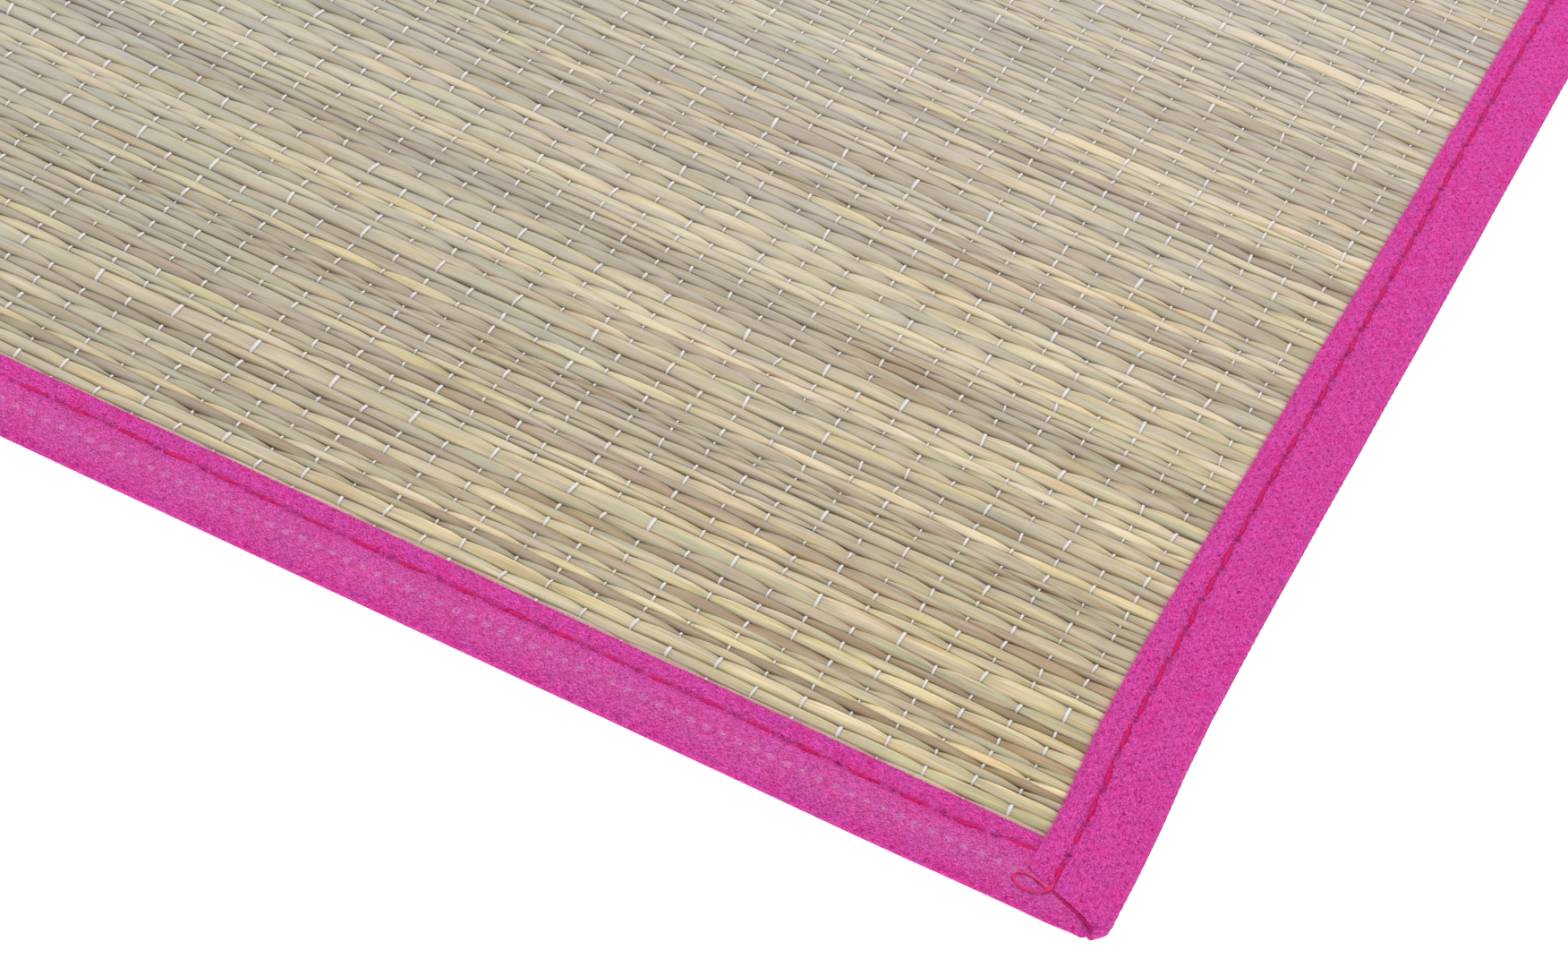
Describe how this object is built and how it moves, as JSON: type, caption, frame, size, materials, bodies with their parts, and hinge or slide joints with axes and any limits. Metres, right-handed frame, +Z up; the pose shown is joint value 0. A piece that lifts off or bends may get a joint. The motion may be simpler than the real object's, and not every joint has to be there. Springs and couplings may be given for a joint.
{
  "type": "straw beach mat",
  "caption": "Flat oblong beach mat of woven rush, its edges bound with folded felt tape that overlaps at the corners.",
  "frame": {"origin": "on the floor, under the middle of the mat", "axes": "+X across the mat, along its straws; +Y along the mat's length; +Z up out of its face"},
  "size_m": [0.6, 1.8, 0.0061],
  "materials": {
    "woven_rush": "dry flattened rush stems, each its own shade of straw, grey green or brown, with a faint satin sheen",
    "pink_felt": "matt hot pink nonwoven felt with lighter and purple flecks and small pressed dots",
    "warp_thread": "white twisted thread",
    "seam_thread": "crimson pink sewing thread"
  },
  "bodies": {
    "root": {"straw_panel": "woven_rush", "short_binding_near": "pink_felt", "short_binding_far": "pink_felt", "long_binding_right": "pink_felt", "long_binding_left": "pink_felt"}
  },
  "joints": []
}
